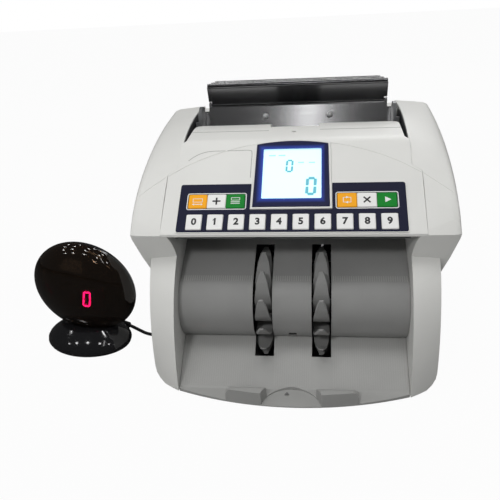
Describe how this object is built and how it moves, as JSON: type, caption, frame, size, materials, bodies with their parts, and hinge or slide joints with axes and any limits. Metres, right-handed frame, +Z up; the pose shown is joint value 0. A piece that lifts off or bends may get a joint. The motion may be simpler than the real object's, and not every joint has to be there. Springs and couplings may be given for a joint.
{
  "type": "banknote counting machine",
  "caption": "Desktop banknote counter with a sloped key panel and screen, hinged note support, sliding hopper guides, finger wheels over an open stacker, and a remote oval display on a cord.",
  "frame": {"origin": "on the table, at the middle of the machine's width, under its middle foot", "axes": "+Z up, -Y the front with the stacker and key panel, +X to the right of someone who looks at the front"},
  "size_m": [0.4115, 0.3272, 0.2339],
  "materials": {
    "housing": "satin",
    "stacker_grey": "satin",
    "dark_plastic": "satin",
    "wheel_grey": "satin",
    "stainless": "brushed",
    "zinc_plate": "satin",
    "shaft_steel": "polished",
    "rubber_black": "matte",
    "motor_metal": "satin",
    "board_green": "satin",
    "sensor_black": "glossy",
    "overlay_navy": "glossy",
    "key_white": "glossy",
    "key_orange": "glossy",
    "key_green": "glossy",
    "bezel_blue": "glossy",
    "lcd_cyan": "glossy",
    "display_black": "glossy",
    "lens_brown": "glossy",
    "led_dark": "satin",
    "cord_black": "satin"
  },
  "bodies": {
    "machine": {"base_pan": "zinc_plate", "feet": "rubber_black", "side_cover_left": "housing", "side_cover_right": "housing", "console_cover": "housing", "rear_cover": "housing", "stacker_guide": "stacker_grey", "stacker_tray": "stacker_grey", "sensor_window": "sensor_black", "side_frame_left": "zinc_plate", "side_frame_right": "zinc_plate", "tie_bars": "zinc_plate", "bearings": "shaft_steel", "hopper_plate": "stainless", "motor": "motor_metal", "drive_belts": "rubber_black", "circuit_board": "board_green", "power_supply": "motor_metal", "power_inlet": "dark_plastic", "display_jack": "dark_plastic", "key_overlay": "overlay_navy", "lcd_bezel": "bezel_blue", "lcd_panel": "lcd_cyan", "display_foot": "display_black", "display_cord": "cord_black", "cord_coil": "cord_black", "cord_plug": "cord_black"},
    "note_flap": {"note_flap": "stainless"},
    "guide_left": {"guide_left": "dark_plastic"},
    "guide_right": {"guide_right": "dark_plastic"},
    "feed_pad": {"feed_pad": "rubber_black"},
    "gap_screw": {"gap_screw": "shaft_steel"},
    "feed_drive": {"feed_shaft": "shaft_steel", "feed_rollers": "rubber_black"},
    "count_drive": {"count_shaft": "shaft_steel", "count_rollers": "rubber_black"},
    "stacker_drive": {"stacker_shaft": "shaft_steel", "stacker_wheels": "wheel_grey"},
    "motor_drive": {"motor_rotor": "shaft_steel"},
    "power_rocker": {"power_rocker": "sensor_black"},
    "display_head": {"display_head": "display_black", "display_lens": "lens_brown", "led_display": "led_dark", "display_pin": "shaft_steel"},
    "key_0": {"key_0": "key_white"},
    "key_1": {"key_1": "key_white"},
    "key_2": {"key_2": "key_white"},
    "key_3": {"key_3": "key_white"},
    "key_4": {"key_4": "key_white"},
    "key_5": {"key_5": "key_white"},
    "key_6": {"key_6": "key_white"},
    "key_7": {"key_7": "key_white"},
    "key_8": {"key_8": "key_white"},
    "key_9": {"key_9": "key_white"},
    "key_size": {"key_size": "key_orange"},
    "key_add": {"key_add": "key_white"},
    "key_batch": {"key_batch": "key_green"},
    "key_mode": {"key_mode": "key_orange"},
    "key_clear": {"key_clear": "key_white"},
    "key_start": {"key_start": "key_green"}
  },
  "joints": [
    {"name": "flap_fold", "type": "hinge", "parent": "machine", "child": "note_flap", "pos_m": [0, 0.082, 0.211], "axis": [-1, 0, 0], "range_deg": [0, 45]},
    {"name": "guide_left_slide", "type": "slide", "parent": "machine", "child": "guide_left", "axis": [1, 0, 0], "range_m": [0, 0.04]},
    {"name": "guide_right_slide", "type": "slide", "parent": "machine", "child": "guide_right", "axis": [-1, 0, 0], "range_m": [0, 0.04]},
    {"name": "gap_turn", "type": "hinge", "parent": "machine", "child": "gap_screw", "pos_m": [0, 0.012, 0.15], "axis": [0, 0, 1], "range_deg": [-180, 180]},
    {"name": "pad_slide", "type": "slide", "parent": "machine", "child": "feed_pad", "axis": [0, 0.866, -0.5], "range_m": [-0.0008, 0.0008]},
    {"name": "count_spin", "type": "hinge", "parent": "machine", "child": "count_drive", "pos_m": [0, 0.044, 0.118], "axis": [1, 0, 0], "continuous": true},
    {"name": "feed_spin", "type": "hinge", "parent": "machine", "child": "feed_drive", "pos_m": [0, 0.0664, 0.16], "axis": [1, 0, 0], "continuous": true},
    {"name": "stacker_spin", "type": "hinge", "parent": "machine", "child": "stacker_drive", "pos_m": [0, -0.067, 0.058], "axis": [1, 0, 0], "continuous": true},
    {"name": "motor_spin", "type": "hinge", "parent": "machine", "child": "motor_drive", "pos_m": [0, 0.072, 0.036], "axis": [1, 0, 0], "continuous": true},
    {"name": "power_rock", "type": "hinge", "parent": "machine", "child": "power_rocker", "pos_m": [0.0325, 0.114, 0.0295], "axis": [1, 0, 0], "range_deg": [-4, 4]},
    {"name": "display_tilt", "type": "hinge", "parent": "machine", "child": "display_head", "pos_m": [-0.21447, -0.04815, 0.0206], "axis": [0.9816, -0.1908, 0], "range_deg": [-6, 5]},
    {"name": "key_0_press", "type": "slide", "parent": "machine", "child": "key_0", "axis": [0, 0.5678, -0.8231], "range_m": [0, 0.0006], "stiffness_N_per_m": 1000},
    {"name": "key_1_press", "type": "slide", "parent": "machine", "child": "key_1", "axis": [0, 0.5678, -0.8231], "range_m": [0, 0.0006], "stiffness_N_per_m": 1000},
    {"name": "key_2_press", "type": "slide", "parent": "machine", "child": "key_2", "axis": [0, 0.5678, -0.8231], "range_m": [0, 0.0006], "stiffness_N_per_m": 1000},
    {"name": "key_3_press", "type": "slide", "parent": "machine", "child": "key_3", "axis": [0, 0.5678, -0.8231], "range_m": [0, 0.0006], "stiffness_N_per_m": 1000},
    {"name": "key_4_press", "type": "slide", "parent": "machine", "child": "key_4", "axis": [0, 0.5678, -0.8231], "range_m": [0, 0.0006], "stiffness_N_per_m": 1000},
    {"name": "key_5_press", "type": "slide", "parent": "machine", "child": "key_5", "axis": [0, 0.5678, -0.8231], "range_m": [0, 0.0006], "stiffness_N_per_m": 1000},
    {"name": "key_6_press", "type": "slide", "parent": "machine", "child": "key_6", "axis": [0, 0.5678, -0.8231], "range_m": [0, 0.0006], "stiffness_N_per_m": 1000},
    {"name": "key_7_press", "type": "slide", "parent": "machine", "child": "key_7", "axis": [0, 0.5678, -0.8231], "range_m": [0, 0.0006], "stiffness_N_per_m": 1000},
    {"name": "key_8_press", "type": "slide", "parent": "machine", "child": "key_8", "axis": [0, 0.5678, -0.8231], "range_m": [0, 0.0006], "stiffness_N_per_m": 1000},
    {"name": "key_9_press", "type": "slide", "parent": "machine", "child": "key_9", "axis": [0, 0.5678, -0.8231], "range_m": [0, 0.0006], "stiffness_N_per_m": 1000},
    {"name": "key_size_press", "type": "slide", "parent": "machine", "child": "key_size", "axis": [0, 0.5678, -0.8231], "range_m": [0, 0.0006], "stiffness_N_per_m": 1000},
    {"name": "key_add_press", "type": "slide", "parent": "machine", "child": "key_add", "axis": [0, 0.5678, -0.8231], "range_m": [0, 0.0006], "stiffness_N_per_m": 1000},
    {"name": "key_batch_press", "type": "slide", "parent": "machine", "child": "key_batch", "axis": [0, 0.5678, -0.8231], "range_m": [0, 0.0006], "stiffness_N_per_m": 1000},
    {"name": "key_mode_press", "type": "slide", "parent": "machine", "child": "key_mode", "axis": [0, 0.5678, -0.8231], "range_m": [0, 0.0006], "stiffness_N_per_m": 1000},
    {"name": "key_clear_press", "type": "slide", "parent": "machine", "child": "key_clear", "axis": [0, 0.5678, -0.8231], "range_m": [0, 0.0006], "stiffness_N_per_m": 1000},
    {"name": "key_start_press", "type": "slide", "parent": "machine", "child": "key_start", "axis": [0, 0.5678, -0.8231], "range_m": [0, 0.0006], "stiffness_N_per_m": 1000}
  ],
  "couplings": [
    {"joint": "feed_spin", "follows": "count_spin", "ratio": 1},
    {"joint": "stacker_spin", "follows": "count_spin", "ratio": 0.71429},
    {"joint": "motor_spin", "follows": "count_spin", "ratio": 1.6667},
    {"joint": "gap_turn", "follows": "pad_slide", "rad_per_m": -3926.9}
  ]
}
